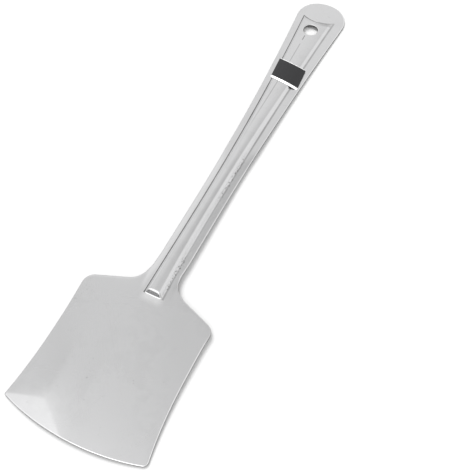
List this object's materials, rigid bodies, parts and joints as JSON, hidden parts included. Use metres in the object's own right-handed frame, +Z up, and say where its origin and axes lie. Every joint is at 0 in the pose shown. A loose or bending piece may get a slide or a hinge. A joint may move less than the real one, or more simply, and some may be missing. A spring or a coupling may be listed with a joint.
{
  "type": "turner",
  "caption": "Kitchen turner pressed from one steel sheet: a wide blade with a curved tip, a ribbed handle with a hanging hole, and a blank label.",
  "frame": {"origin": "on the surface that the turner lies on, below the middle of its bounding box", "axes": "+Y along the handle, from the blade's tip to the round end; +X across, to the right when the handle points away; +Z up, out of the ribbed face"},
  "size_m": [0.0732, 0.3, 0.0071],
  "materials": {
    "stainless_steel": "smooth bright stainless sheet with faint scratches and smudges",
    "label": "plain black field on a white printed film, no lettering"
  },
  "bodies": {
    "root": {"turner_body": "stainless_steel", "label": "label"}
  },
  "joints": []
}
